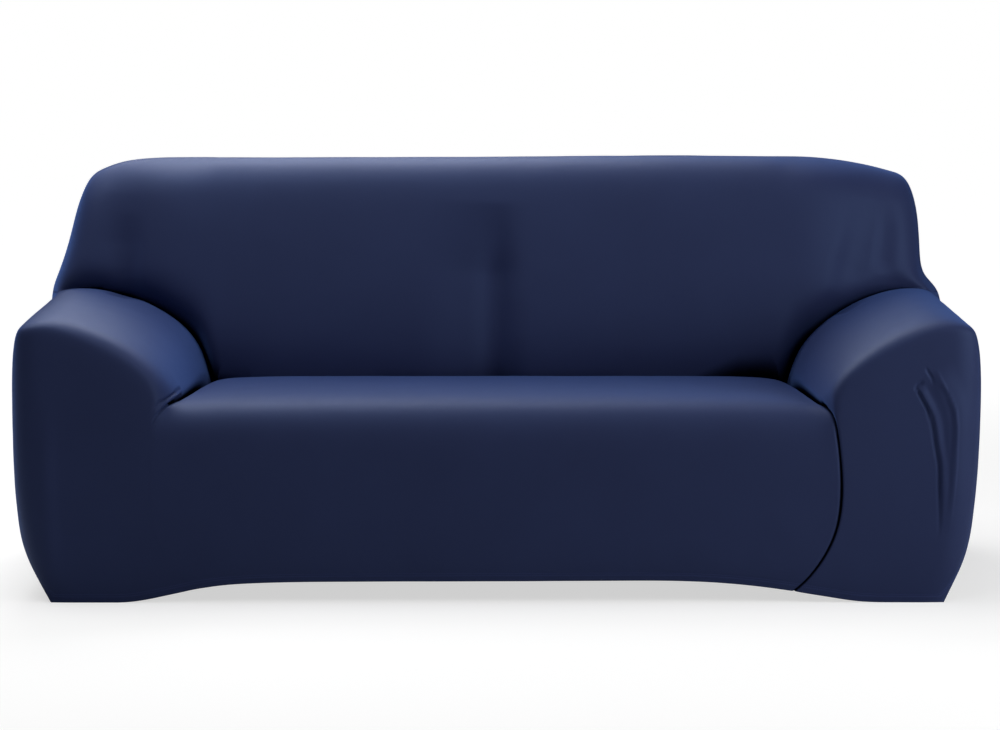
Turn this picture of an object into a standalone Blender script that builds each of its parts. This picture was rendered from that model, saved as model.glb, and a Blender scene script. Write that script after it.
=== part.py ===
"""A stretch slipcover for a three-seat sofa, in the shape it has once it is drawn over the sofa.

Five sewn panels of knitted jersey, hollow underneath and open at the floor. The whole cover is
shaped as one cage, smoothed, given its soft folds, cut along its seams and thickened inwards.
Metres, +Z up, the front faces -Y, and +X is to the right of someone who looks at the front.
"""

from collections import namedtuple

import bmesh
import bpy
import numpy as np
from mathutils import Vector

# Driving dimensions.
HALF_WIDTH = 1.005  # from the centre to the outer side of an arm
DEPTH = 0.88  # front of the skirt to the outside back
HEIGHT = 0.90  # crown of the top roll
ARM_HEIGHT = 0.592
CLOTH = 0.002  # thickness of the jersey
SEAM_GAP = 0.0003  # two panels' cut edges stand this far apart
SMOOTHING = 1  # subdivisions of the cage

# Radii of the sofa's edges as they show through the cloth.
ARM_SIDE_RADIUS = 0.058  # arm top to outer side, and arm front to outer side
ROLL_RADIUS = 0.095  # inside back over the top
WING_RADIUS = 0.07  # inside back to the side of the back
REAR_RADIUS = 0.06  # sides to the outside back
HALFWAY = 1 - 0.5**0.5  # a rounded edge's cage point lies this share of the radius inside the corner
SMALLEST_CORNER = 0.008  # radius of the arm's front corner at the floor
CORNER_GROWTH = 0.8  # how fast that radius grows with height, up to ARM_SIDE_RADIUS

PANELS = ("seat_panel", "inside_back_panel", "left_arm_panel", "right_arm_panel", "outside_back_panel")
SEAT, INSIDE_BACK, LEFT_ARM, RIGHT_ARM, OUTSIDE_BACK = range(5)
NAVY = {
    "seat_panel": (0.016, 0.020, 0.066),
    "inside_back_panel": (0.018, 0.023, 0.074),
    "left_arm_panel": (0.015, 0.019, 0.062),
    "right_arm_panel": (0.017, 0.021, 0.068),
    "outside_back_panel": (0.014, 0.017, 0.056),
}

# The cage is a lattice that is wrapped over the sofa: columns across, rows from front to back and
# levels from the hem up.
COLUMNS = (0.0, 0.22, 0.43, 0.565, 0.625, 0.66, 0.685, 0.74, 0.81, 0.88, 0.92, 0.955, 1.0)
SEAM = 0.66  # the column that the seat/arm seam follows
ARM_MIDDLE = 0.81  # and the one along the middle of the arm's top
STATIONS = tuple(-a for a in reversed(COLUMNS[1:])) + COLUMNS
LAST_COLUMN = len(STATIONS) - 1
LEFT_SEAM = STATIONS.index(-SEAM)
RIGHT_SEAM = STATIONS.index(SEAM)

Row = namedtuple("Row", "seat arm side")  # distance from the front at the seat, arm top and side
ROWS = (
    Row(0.000, 0.000, 0.000),
    Row(0.075, 0.030, 0.070),
    Row(0.200, 0.160, 0.180),
    Row(0.330, 0.310, 0.320),
    Row(0.440, 0.450, 0.460),
    Row(0.500, 0.560, 0.570),
    Row(0.535, 0.610, 0.650),  # the tuck in front of the back
    Row(0.680, 0.720, 0.735),
    Row(0.785, 0.800, 0.805),
    Row(0.880, 0.880, 0.880),
)
TUCK_ROW = 6
LAST_ROW = len(ROWS) - 1

LOW_SHARES = (0.0, 0.10, 0.36, 0.68, 1.0)  # hem up to where the front's top edge begins to round
TOP_LEVEL = len(LOW_SHARES)  # level of the seat and arm tops
HIGH_SHARES = (0.0, 0.19, 0.56, 1.0)  # tuck up to where the top roll begins
LAST_LEVEL = TOP_LEVEL + len(HIGH_SHARES)
REAR_SHARES = (0.3, 0.62, 1.0)  # the same on the outside back, from the arm tops up

Sides = namedtuple("Sides", "left right")
SEAM_FRONT = Sides(0.668, 0.683)  # distance of the seat's seam from the centre at the front
SEAM_LEAN = Sides(0.040, 0.037)  # how far it has run inwards where it meets the tuck
SEAM_ON_BACK = 0.628  # distance of the seam's column from the centre on the back
SEAM_SHARE = 0.6  # the seam's rows lie this far from the arm's towards the seat's
CORNER_EASE = 0.006  # the last flat column's clearance from a rounded corner
ARM_EASE = 0.010  # the same on the arm tops
CROWN_RISE = 0.004  # the top's cage stands this far over the crown
SIDE_RISE = 0.005  # and the outer side's over the arm's height
REAR_RISE = 0.010  # and the outside back's
CROWN_EFFECT = 0.55  # share of the crown's drop that the start of the top roll takes up
HEM_DRAW_IN = {0: 0.010, 1: 0.002}  # how far the lowest levels turn in under the front and sides
REAR_DRAW_IN = {0: 0.018, 1: 0.006}  # and under the outside back
SEAM_CREASE = 1.0  # how sharp the cage is along the seat's seams, from 0 to 1
SEAM_START_CREASE = 0.8  # the same in the seams' first row
FRONT_SEAM_CREASE = 0.9  # and down the right seam on the front

# Short tables: each row is a station and the values there, and lines join the rows.
TOP_TABLE = (  # station, height at the front on the left and right, then at the back likewise
    (0.000, 0.424, 0.424, 0.430, 0.430),
    (0.430, 0.424, 0.424, 0.430, 0.430),
    (0.565, 0.423, 0.423, 0.428, 0.428),
    (0.625, 0.420, 0.418, 0.424, 0.424),
    (0.660, 0.422, 0.415, 0.405, 0.405),
    (0.685, 0.466, 0.460, 0.512, 0.494),
    (0.740, 0.518, 0.512, 0.563, 0.549),
    (0.810, 0.556, 0.552, 0.598, 0.590),
    (0.880, 0.586, 0.584, 0.612, 0.610),
    (0.920, 0.595, 0.594, 0.615, 0.614),
    (0.955, 0.592, 0.592, 0.612, 0.612),
    (1.000, 0.580, 0.580, 0.602, 0.602),
)
EDGE_TABLE = (  # station, radius of the top edge of the front
    (0.000, 0.078),
    (0.625, 0.072),
    (0.660, 0.050),
    (0.685, 0.034),
    (1.000, 0.030),
)
HEM_TABLE = (  # station, height of the front hem on the left, and on the right
    (0.00, 0.045, 0.045),
    (0.43, 0.044, 0.047),
    (0.565, 0.040, 0.035),
    (0.66, 0.028, 0.024),
    (0.81, 0.000, 0.001),
    (1.00, 0.000, 0.000),
)
REAR_HEM_TABLE = (  # station, height of the outside back's hem
    (0.00, 0.030),
    (0.66, 0.030),
    (0.81, 0.000),
)
SIDE_HEM_TABLE = (  # distance from the front, height of the outer side's hem between the feet
    (0.00, 0.000),
    (0.07, 0.080),
    (0.18, 0.096),
    (0.70, 0.096),
    (0.80, 0.080),
    (0.88, 0.000),
)
POCKET_TABLE = (  # station, how far the tuck is pushed in beside the back cushions
    (0.565, 0.000),
    (0.660, 0.025),
    (0.740, 0.000),
)
TUCK_TABLE = (  # station, depth of the tuck
    (0.000, 0.045),
    (0.660, 0.030),
    (0.685, 0.024),
    (0.810, 0.014),
    (1.000, 0.004),
)
DIP_TABLE = (  # station, depth of the dip in front of the tuck
    (0.660, 0.005),
    (0.740, 0.000),
)
TUCK_CREASE_TABLE = (  # station, how sharp the tuck in front of the back is
    (0.880, 1.0),
    (0.955, 0.5),
)
SEAM_TABLE = (  # height, distance of the front seam from the centre
    (0.020, 0.620),
    (0.045, 0.648),
    (0.070, 0.676),
    (0.100, 0.704),
    (0.159, 0.721),
    (0.242, 0.7246),
    (0.325, 0.720),
    (0.397, 0.704),
    (0.424, 0.683),
    (0.440, 0.668),
)
OUTER_TABLE = (  # height, left and right outer line of the arm
    (0.00, 0.930, 0.940),
    (0.05, 0.975, 0.982),
    (0.10, 1.006, 1.008),
    (0.25, 1.014, 1.016),
    (0.40, 1.015, 1.023),
    (0.60, 1.014, 1.020),
)
BACK_TABLE = (  # height, left and right side of the back
    (0.60, 1.012, 0.982),
    (0.64, 0.994, 0.969),
    (0.70, 0.973, 0.971),
    (0.81, 0.948, 0.962),
    (0.90, 0.945, 0.960),
)
CROWN_TABLE = (  # station, how far the crown drops towards the left and the right corner
    (0.00, 0.006, 0.006),
    (0.43, 0.007, 0.002),
    (0.74, 0.007, 0.006),
    (0.81, 0.008, 0.011),
    (0.88, 0.013, 0.022),
    (0.92, 0.021, 0.031),
    (0.955, 0.033, 0.040),
    (1.000, 0.050, 0.050),
)
FACE_TABLE = (  # height, distance of the inside back's face from the front
    (0.375, 0.535),
    (0.457, 0.512),
    (0.616, 0.542),
    (0.805, 0.588),
)
WING_TABLE = (  # station, how far the inside back steps back beside the cushions
    (0.74, 0.000),
    (0.81, 0.016),
    (0.88, 0.048),
    (0.92, 0.060),
    (1.00, 0.068),
)


Fold = namedtuple("Fold", "face line reach height fades")
# A soft ridge (height over 0) or trough (under 0). Its line is points of distance from the centre
# and height on the front or the inside back, reach is how far it spreads to each side, and fades
# are the shares of its length over which it rises and dies away.
RIGHT_PLEAT = ((0.879, 0.456), (0.913, 0.362), (0.919, 0.217), (0.915, 0.110))
FOLDS = (
    Fold("back", ((0.0, 0.43), (0.0, 0.60), (0.01, 0.80)), 0.110, -0.018, (0.05, 0.35)),
    Fold("back", ((-0.838, 0.585), (-0.833, 0.66), (-0.825, 0.78)), 0.040, -0.014, (0.0, 0.6)),
    Fold("back", ((0.765, 0.555), (0.815, 0.68), (0.850, 0.80)), 0.045, -0.010, (0.0, 0.6)),
    Fold("back", ((0.885, 0.62), (0.893, 0.70), (0.900, 0.79)), 0.035, -0.008, (0.3, 0.4)),
    Fold("front", RIGHT_PLEAT, 0.020, 0.009, (0.15, 0.3)),
    Fold("front", ((0.923, 0.477), (0.954, 0.362), (0.958, 0.155)), 0.020, 0.008, (0.2, 0.3)),
)


def along(table, at, value=1):
    """The value of a table's column at a station or height, on the lines between its rows."""
    rows = np.array(table)
    return float(np.interp(at, rows[:, 0], rows[:, value]))


def sided(side):
    """The table column that holds the left or the right value."""
    return 1 if side < 0 else 2


def at_side(pair, side):
    """The left or the right one of two values."""
    return pair.left if side < 0 else pair.right


def across(station, seam, outer):
    """Where a column lies, given where the seam column and the outer line are."""
    if station <= SEAM:
        return station * seam / SEAM
    return seam + (station - SEAM) / (1 - SEAM) * (outer - seam)


def rounded(station, seam, outer, radius):
    """Distance from the centre and set-back of a column that turns the corner to the outer side."""
    start = 1 - radius
    if station <= start:
        return across(station, seam, outer), 0.0
    turn = np.pi / 4 * (station - start) / radius
    return outer - radius + radius * np.sin(turn), radius * (1 - np.cos(turn))


def front_point(station, side, level):
    top = along(TOP_TABLE, station, sided(side))
    radius = along(EDGE_TABLE, station)
    hem = along(HEM_TABLE, station, sided(side))
    if level == TOP_LEVEL:
        z, y = top - HALFWAY * radius, HALFWAY * radius
    else:
        z, y = hem + (top - radius - hem) * LOW_SHARES[level], 0.0
    y += HEM_DRAW_IN.get(level, 0.0)
    corner = min(ARM_SIDE_RADIUS, SMALLEST_CORNER + CORNER_GROWTH * z)
    x, back = rounded(station, along(SEAM_TABLE, z), along(OUTER_TABLE, z, sided(side)), corner)
    return x, y + back, z


def row_depth(station, row):
    """Distance from the front of a row's point on the seat, the arm top or the roll."""
    here = ROWS[row]
    if station <= SEAM:
        return here.seat
    seam = SEAM_SHARE * here.seat + (1 - SEAM_SHARE) * here.arm
    return along(((SEAM, seam), (ARM_MIDDLE, here.arm), (1.0, here.side)), station)


def top_point(station, side, row):
    share = row / TUCK_ROW
    front, back = (along(TOP_TABLE, station, sided(side) + at_back) for at_back in (0, 2))
    z = (1 - share) * front + share * back
    seam = at_side(SEAM_FRONT, side) - at_side(SEAM_LEAN, side) * share
    outer = HALF_WIDTH - HALFWAY * ARM_SIDE_RADIUS
    x = across(station, seam, outer + ARM_EASE)
    if station == 1.0:
        x = outer
    y = row_depth(station, row)
    if row == TUCK_ROW:
        y += along(POCKET_TABLE, station)
        z -= along(TUCK_TABLE, station)
    if row == TUCK_ROW - 1:
        z -= along(DIP_TABLE, station)
    return x, y, z


def face_depth(station, z):
    """Distance from the front of the inside back, its set-back wing included."""
    return along(FACE_TABLE, z) + along(WING_TABLE, station)


def roll_start(station, side):
    """Height at which the top roll begins."""
    return HEIGHT - ROLL_RADIUS - CROWN_EFFECT * along(CROWN_TABLE, station, sided(side))


def inside_back_point(station, side, level):
    foot = top_point(station, side, TUCK_ROW)
    drop = along(CROWN_TABLE, station, sided(side))
    begin = roll_start(station, side)
    if level < LAST_LEVEL:
        z = foot[2] + (begin - foot[2]) * HIGH_SHARES[level - TOP_LEVEL]
        y = face_depth(station, z)
    else:
        z = HEIGHT - HALFWAY * ROLL_RADIUS - drop
        y = face_depth(station, begin) + HALFWAY * ROLL_RADIUS
    half = along(BACK_TABLE, z, sided(side))
    x = across(station, SEAM_ON_BACK, half - HALFWAY * WING_RADIUS + CORNER_EASE)
    if station == 1.0:
        x = half - HALFWAY * WING_RADIUS
        y += HALFWAY * WING_RADIUS
    return x, y, z


def back_top_point(station, side, row):
    drop = along(CROWN_TABLE, station, sided(side))
    z = HEIGHT + CROWN_RISE - drop
    half = along(BACK_TABLE, z, sided(side))
    x = across(station, SEAM_ON_BACK, half - HALFWAY * WING_RADIUS + CORNER_EASE)
    if station == 1.0:
        x = half - HALFWAY * WING_RADIUS
    return x, row_depth(station, row), z


def outside_back_point(station, side, level):
    if level < TOP_LEVEL:
        top = ARM_HEIGHT - ARM_SIDE_RADIUS
        hem = along(REAR_HEM_TABLE, station)
        z = hem + (top - hem) * LOW_SHARES[level]
    elif level == TOP_LEVEL:
        z = ARM_HEIGHT + REAR_RISE
    elif level < LAST_LEVEL:
        share = REAR_SHARES[level - TOP_LEVEL - 1]
        z = ARM_HEIGHT + (roll_start(station, side) - ARM_HEIGHT) * share
    else:
        z = HEIGHT - HALFWAY * ROLL_RADIUS - along(CROWN_TABLE, station, sided(side))
    y = DEPTH - REAR_DRAW_IN.get(level, 0.0)
    if level == LAST_LEVEL:
        y = DEPTH - HALFWAY * ROLL_RADIUS
    table = OUTER_TABLE if level <= TOP_LEVEL else BACK_TABLE
    outer = along(table, z, sided(side))
    x = across(station, SEAM, outer - HALFWAY * REAR_RADIUS + CORNER_EASE)
    if station == 1.0:
        x = outer - HALFWAY * REAR_RADIUS
        y -= HALFWAY * REAR_RADIUS
    return x, y, z


def side_point(side, row, level):
    y = ROWS[row].side
    if level < TOP_LEVEL:
        hem = along(SIDE_HEM_TABLE, y)
        top = ARM_HEIGHT - ARM_SIDE_RADIUS
        z = hem + (top - hem) * LOW_SHARES[level]
        x = along(OUTER_TABLE, z, sided(side)) - HEM_DRAW_IN.get(level, 0.0)
    elif level == TOP_LEVEL:
        z = ARM_HEIGHT + SIDE_RISE
        x = along(OUTER_TABLE, z, sided(side))
    else:
        z = ARM_HEIGHT + (roll_start(1.0, side) - ARM_HEIGHT) * HIGH_SHARES[level - TOP_LEVEL]
        x = along(BACK_TABLE, z, sided(side))
    return x, y, z


def lattice_point(column, row, level):
    """The cage's point, in metres, with the depth centred on the origin."""
    station = abs(STATIONS[column])
    side = -1 if column < LAST_COLUMN / 2 else 1
    if row == 0:
        x, y, z = front_point(station, side, level)
    elif row == LAST_ROW:
        x, y, z = outside_back_point(station, side, level)
    elif level == TOP_LEVEL and row <= TUCK_ROW:
        x, y, z = top_point(station, side, row)
    elif level == LAST_LEVEL and row > TUCK_ROW:
        x, y, z = back_top_point(station, side, row)
    elif row == TUCK_ROW and level > TOP_LEVEL:
        x, y, z = inside_back_point(station, side, level)
    else:
        x, y, z = side_point(side, row, level)
    return Vector((side * x, y - DEPTH / 2, z))


def rear_panel(column, level):
    """The panel that holds a face at the back: its outer strips belong to the sides and the top."""
    left, right = column == 0, column == LAST_COLUMN - 1
    if level == LAST_LEVEL - 1 or level >= TOP_LEVEL and (left or right):
        return INSIDE_BACK
    return LEFT_ARM if left else RIGHT_ARM if right else OUTSIDE_BACK


def cover_cage():
    """The cage of the whole cover, each face marked with its panel, its tucks creased."""
    bm = bmesh.new()
    crease = bm.edges.layers.float.new("crease_edge")
    corner = bm.verts.layers.float.new("crease_vert")
    verts = {}

    def vert(*place):
        if place not in verts:
            verts[place] = bm.verts.new(lattice_point(*place))
        return verts[place]

    def face(panel, *places):
        bm.faces.new([vert(*place) for place in places]).material_index = panel

    def patch(panel, first, second, place):
        """Faces over a stretch of the lattice; place turns the two counts into a lattice place."""
        for a in first:
            for b in second:
                face(panel, place(a, b), place(a + 1, b), place(a + 1, b + 1), place(a, b + 1))

    columns = range(LAST_COLUMN)
    rows, back_rows = range(LAST_ROW), range(TUCK_ROW, LAST_ROW)
    low, high = range(TOP_LEVEL), range(TOP_LEVEL, LAST_LEVEL)
    between_seams = {
        LEFT_ARM: range(LEFT_SEAM),
        SEAT: range(LEFT_SEAM, RIGHT_SEAM),
        RIGHT_ARM: range(RIGHT_SEAM, LAST_COLUMN),
    }
    for panel, span in between_seams.items():
        patch(panel, span, low, lambda i, k: (i, 0, k))
        patch(panel, span, range(TUCK_ROW), lambda i, j: (i, j, TOP_LEVEL))
    patch(INSIDE_BACK, columns, high, lambda i, k: (i, TUCK_ROW, k))
    patch(INSIDE_BACK, columns, back_rows, lambda i, j: (i, j, LAST_LEVEL))
    for i in columns:
        for k in range(LAST_LEVEL):
            patch(rear_panel(i, k), (k,), (i,), lambda k, i: (i, LAST_ROW, k))
    patch(LEFT_ARM, low, rows, lambda k, j: (0, j, k))
    patch(INSIDE_BACK, high, back_rows, lambda k, j: (0, j, k))
    patch(RIGHT_ARM, rows, low, lambda j, k: (LAST_COLUMN, j, k))
    patch(INSIDE_BACK, back_rows, high, lambda j, k: (LAST_COLUMN, j, k))

    def sharpen(start, end, sharpness):
        bm.edges.get((verts[start], verts[end]))[crease] = sharpness

    for i in columns:
        station = min(abs(STATIONS[i]), abs(STATIONS[i + 1]))
        sharpness = along(TUCK_CREASE_TABLE, station)
        sharpen((i, TUCK_ROW, TOP_LEVEL), (i + 1, TUCK_ROW, TOP_LEVEL), sharpness)
    for column in (LEFT_SEAM, RIGHT_SEAM):
        for j in range(TUCK_ROW):
            sharpness = SEAM_CREASE if j else SEAM_START_CREASE
            sharpen((column, j, TOP_LEVEL), (column, j + 1, TOP_LEVEL), sharpness)
    for k in low:
        sharpen((RIGHT_SEAM, 0, k), (RIGHT_SEAM, 0, k + 1), FRONT_SEAM_CREASE)
    for foot in ((0, 0, 0), (LAST_COLUMN, 0, 0), (0, LAST_ROW, 0), (LAST_COLUMN, LAST_ROW, 0)):
        verts[foot][corner] = 1.0
    return bm


def smooth_cover():
    """The whole cover as one smoothed mesh."""
    bm = cover_cage()
    mesh = bpy.data.meshes.new("cover")
    bm.to_mesh(mesh)
    bm.free()
    cage = bpy.data.objects.new("cover", mesh)
    bpy.context.scene.collection.objects.link(cage)
    smoother = cage.modifiers.new("Subdivision", "SUBSURF")
    smoother.levels = SMOOTHING
    smoother.render_levels = SMOOTHING
    smoother.use_limit_surface = True
    cover = bpy.data.meshes.new_from_object(cage.evaluated_get(bpy.context.evaluated_depsgraph_get()))
    bpy.data.objects.remove(cage)
    return cover


def line_points(fold):
    """The fold's line, laid on the cover's front or inside back."""
    depth = {"front": lambda x, z: 0.0, "back": face_depth}[fold.face]
    return [Vector((x, depth(abs(x), z) - DEPTH / 2, z)) for x, z in fold.line]


def near_line(places, points):
    """For each place, its distance from the line and the share of the line's length reached there."""
    spans = [(b - a).length for a, b in zip(points, points[1:])]
    nearest = np.full(len(places), np.inf)
    share = np.zeros(len(places))
    run = 0.0
    for a, b, span in zip(points, points[1:], spans):
        way = np.array(b - a) / span
        reached = np.clip((places - np.array(a)) @ way, 0.0, span)
        gap = np.linalg.norm(places - np.array(a) - reached[:, None] * way, axis=1)
        closer = gap < nearest
        nearest[closer] = gap[closer]
        share[closer] = (run + reached[closer]) / sum(spans)
        run += span
    return nearest, share


def fold_heights(places):
    """How far each place of the cover stands out of, or sinks below, its smooth shape."""
    heights = np.zeros(len(places))
    for fold in FOLDS:
        gap, share = near_line(places, line_points(fold))
        swell = np.cos(np.pi / 2 * np.minimum(gap / fold.reach, 1.0)) ** 2
        rise, fall = (max(fade, 1e-6) for fade in fold.fades)
        fade = np.clip(share / rise, 0, 1) * np.clip((1 - share) / fall, 0, 1)
        heights += fold.height * swell * fade
    return heights


def press_folds(cover):
    """Moves the cover's points along their normals to make its folds."""
    places = np.array([vert.co[:] for vert in cover.vertices])
    normals = [vert.normal.copy() for vert in cover.vertices]
    for vert, normal, height in zip(cover.vertices, normals, fold_heights(places)):
        vert.co += normal * float(height)
    cover.update()


def jersey(name):
    material = bpy.data.materials.new(name + "_jersey")
    material.use_nodes = True
    shader = material.node_tree.nodes["Principled BSDF"]
    shader.inputs["Base Color"].default_value = (*NAVY[name], 1.0)
    shader.inputs["Roughness"].default_value = 0.8
    shader.inputs["Metallic"].default_value = 0.0
    material.diffuse_color = (*NAVY[name], 1.0)
    return material


def pull_back(bm, outward):
    """Draws each cut edge in by half the seam gap, in the plane of the cloth."""
    moves = {}
    for edge in bm.edges:
        if not edge.is_boundary:
            continue
        loop = edge.link_loops[0]
        along_edge = (loop.link_loop_next.vert.co - loop.vert.co).normalized()
        for vert in edge.verts:
            moves.setdefault(vert, []).append(vert[outward].cross(along_edge).normalized())
    for vert, inwards in moves.items():
        way = sum(inwards, Vector()).normalized()
        reach = SEAM_GAP / 2 / max(0.5, min(way.dot(each) for each in inwards))
        vert.co += way * reach


def split_cut_edge(face, inner, number):
    """Halves a face of a cut edge the same way on both panels of a seam, so that their gap is even."""
    low = min((vert for vert in face.verts if vert not in inner), key=lambda vert: vert[number])
    high = max((vert for vert in face.verts if vert in inner), key=lambda vert: vert[number])
    bmesh.utils.face_split(face, low, high)


def build_panel(cover, index):
    """One panel, cut out of the cover along its seams and thickened inwards."""
    name = PANELS[index]
    bm = bmesh.new()
    bm.from_mesh(cover)
    bm.normal_update()
    outward = bm.verts.layers.float_vector.new("outward")
    number = bm.verts.layers.int.new("number")
    for vert in bm.verts:
        vert[outward] = vert.normal
        vert[number] = vert.index
    others = [face for face in bm.faces if face.material_index != index]
    bmesh.ops.delete(bm, geom=others, context="FACES")
    pull_back(bm, outward)
    made = bmesh.ops.extrude_face_region(bm, geom=bm.faces[:])["geom"]
    inner = {item for item in made if isinstance(item, bmesh.types.BMVert)}
    for vert in inner:
        vert.co -= vert[outward] * CLOTH
    for face in bm.faces[:]:
        if 0 < len(inner.intersection(face.verts)) < len(face.verts):
            split_cut_edge(face, inner, number)
    for face in bm.faces:
        face.material_index = 0
        face.smooth = True
    bmesh.ops.recalc_face_normals(bm, faces=bm.faces[:])
    mesh = bpy.data.meshes.new(name)
    bm.to_mesh(mesh)
    bm.free()
    mesh.materials.append(jersey(name))
    panel = bpy.data.objects.new(name, mesh)
    bpy.context.scene.collection.objects.link(panel)
    return panel


def main():
    for obj in list(bpy.data.objects):
        bpy.data.objects.remove(obj)
    cover = smooth_cover()
    press_folds(cover)
    for index in range(len(PANELS)):
        build_panel(cover, index)
    bpy.data.meshes.remove(cover)


main()
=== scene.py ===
"""A navy stretch slipcover for a three-seat sofa, as the cloth looks once it is drawn on.

The whole cover is one cage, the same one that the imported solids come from. Here it is smoothed
further, given its folds, tucks, seam grooves and creases, and cut along its seams into the five
sewn panels, whose edges are turned in and hemmed. Metres, +Z up, the front faces -Y, and +X is
to the right of someone who looks at the front.
"""

import math
from collections import namedtuple

import bmesh
import bpy
import numpy as np
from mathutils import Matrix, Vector, noise
from mathutils.bvhtree import BVHTree
from mathutils.kdtree import KDTree


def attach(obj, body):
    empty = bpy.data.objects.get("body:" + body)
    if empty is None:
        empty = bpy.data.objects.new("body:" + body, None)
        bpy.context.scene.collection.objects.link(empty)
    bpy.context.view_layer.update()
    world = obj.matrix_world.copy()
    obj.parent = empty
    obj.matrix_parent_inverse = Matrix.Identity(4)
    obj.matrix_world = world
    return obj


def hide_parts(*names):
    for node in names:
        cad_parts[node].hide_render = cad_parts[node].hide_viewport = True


bl_info = {
    "name": "Sofa slipcover",
    "version": (1, 0, 0),
    "blender": (4, 5, 0),
    "location": "3D View > Sidebar > Slipcover",
    "description": "Makes the jersey panels of a stretch slipcover, its floor, lights and camera",
    "category": "Object",
}

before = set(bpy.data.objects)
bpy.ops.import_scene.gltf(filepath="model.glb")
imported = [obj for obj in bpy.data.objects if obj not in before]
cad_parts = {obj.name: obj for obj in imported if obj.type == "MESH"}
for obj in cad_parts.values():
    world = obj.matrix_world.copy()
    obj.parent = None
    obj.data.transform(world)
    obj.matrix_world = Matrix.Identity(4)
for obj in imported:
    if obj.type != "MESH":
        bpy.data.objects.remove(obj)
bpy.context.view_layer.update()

# Driving dimensions.
HALF_WIDTH = 1.005  # from the centre to the outer side of an arm
DEPTH = 0.88  # front of the skirt to the outside back
HEIGHT = 0.90  # crown of the top roll
ARM_HEIGHT = 0.592

# Radii of the sofa's edges as they show through the cloth.
ARM_SIDE_RADIUS = 0.058  # arm top to outer side, and arm front to outer side
ROLL_RADIUS = 0.095  # inside back over the top
WING_RADIUS = 0.07  # inside back to the side of the back
REAR_RADIUS = 0.06  # sides to the outside back
HALFWAY = 1 - 0.5**0.5  # a rounded edge's cage point is this share of the radius inside the corner
SMALLEST_CORNER = 0.008  # radius of the arm's front corner at the floor
CORNER_GROWTH = 0.8  # how fast that radius grows with height, up to ARM_SIDE_RADIUS

PANELS = (
    "seat_panel",
    "inside_back_panel",
    "left_arm_panel",
    "right_arm_panel",
    "outside_back_panel",
)
SEAT, INSIDE_BACK, LEFT_ARM, RIGHT_ARM, OUTSIDE_BACK = range(len(PANELS))

# The cage is a lattice that is wrapped over the sofa: columns across, rows from front to back and
# levels from the hem up.
COLUMNS = (0.0, 0.22, 0.43, 0.565, 0.625, 0.66, 0.685, 0.74, 0.81, 0.88, 0.92, 0.955, 1.0)
SEAM = 0.66  # the column that the seat/arm seam follows
ARM_MIDDLE = 0.81  # and the one along the middle of the arm's top
STATIONS = tuple(-a for a in reversed(COLUMNS[1:])) + COLUMNS
LAST_COLUMN = len(STATIONS) - 1
LEFT_SEAM = STATIONS.index(-SEAM)
RIGHT_SEAM = STATIONS.index(SEAM)

Row = namedtuple("Row", "seat arm side")  # distance from the front at the seat, arm top and side
ROWS = (
    Row(0.000, 0.000, 0.000),
    Row(0.075, 0.030, 0.070),
    Row(0.200, 0.160, 0.180),
    Row(0.330, 0.310, 0.320),
    Row(0.440, 0.450, 0.460),
    Row(0.500, 0.560, 0.570),
    Row(0.535, 0.610, 0.650),  # the tuck in front of the back
    Row(0.680, 0.720, 0.735),
    Row(0.785, 0.800, 0.805),
    Row(0.880, 0.880, 0.880),
)
TUCK_ROW = 6
LAST_ROW = len(ROWS) - 1

LOW_SHARES = (0.0, 0.10, 0.36, 0.68, 1.0)  # hem up to where the front's top edge begins to round
TOP_LEVEL = len(LOW_SHARES)  # level of the seat and arm tops
HIGH_SHARES = (0.0, 0.19, 0.56, 1.0)  # tuck up to where the top roll begins
LAST_LEVEL = TOP_LEVEL + len(HIGH_SHARES)
REAR_SHARES = (0.3, 0.62, 1.0)  # the same on the outside back, from the arm tops up

Sides = namedtuple("Sides", "left right")
SEAM_FRONT = Sides(0.668, 0.683)  # distance of the seat's seam from the centre at the front
SEAM_LEAN = Sides(0.040, 0.037)  # how far it has run inwards where it meets the tuck
SEAM_ON_BACK = 0.628  # distance of the seam's column from the centre on the back
SEAM_SHARE = 0.6  # the seam's rows lie this far from the arm's towards the seat's
CORNER_EASE = 0.006  # the last flat column's clearance from a rounded corner
ARM_EASE = 0.010  # the same on the arm tops
CROWN_RISE = 0.004  # the top's cage stands this far over the crown
SIDE_RISE = 0.005  # and the outer side's over the arm's height
REAR_RISE = 0.010  # and the outside back's
CROWN_EFFECT = 0.55  # share of the crown's drop that the start of the top roll takes up
HEM_DRAW_IN = {0: 0.010, 1: 0.002}  # how far the lowest levels turn in under the front and sides
REAR_DRAW_IN = {0: 0.018, 1: 0.006}  # and under the outside back
SEAM_CREASE = 1.0  # how sharp the cage is along the seat's seams, from 0 to 1
SEAM_START_CREASE = 0.8  # the same in the seams' first row
FRONT_SEAM_CREASE = 0.9  # and down the right seam on the front

# Short tables: each row is a station and the values there, and lines join the rows.
TOP_TABLE = (  # station, height at the front on the left and right, then at the back likewise
    (0.000, 0.424, 0.424, 0.430, 0.430),
    (0.430, 0.424, 0.424, 0.430, 0.430),
    (0.565, 0.423, 0.423, 0.428, 0.428),
    (0.625, 0.420, 0.418, 0.424, 0.424),
    (0.660, 0.422, 0.415, 0.405, 0.405),
    (0.685, 0.466, 0.460, 0.512, 0.494),
    (0.740, 0.518, 0.512, 0.563, 0.549),
    (0.810, 0.556, 0.552, 0.598, 0.590),
    (0.880, 0.586, 0.584, 0.612, 0.610),
    (0.920, 0.595, 0.594, 0.615, 0.614),
    (0.955, 0.592, 0.592, 0.612, 0.612),
    (1.000, 0.580, 0.580, 0.602, 0.602),
)
EDGE_TABLE = (  # station, radius of the top edge of the front
    (0.000, 0.078),
    (0.625, 0.072),
    (0.660, 0.050),
    (0.685, 0.034),
    (1.000, 0.030),
)
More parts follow.
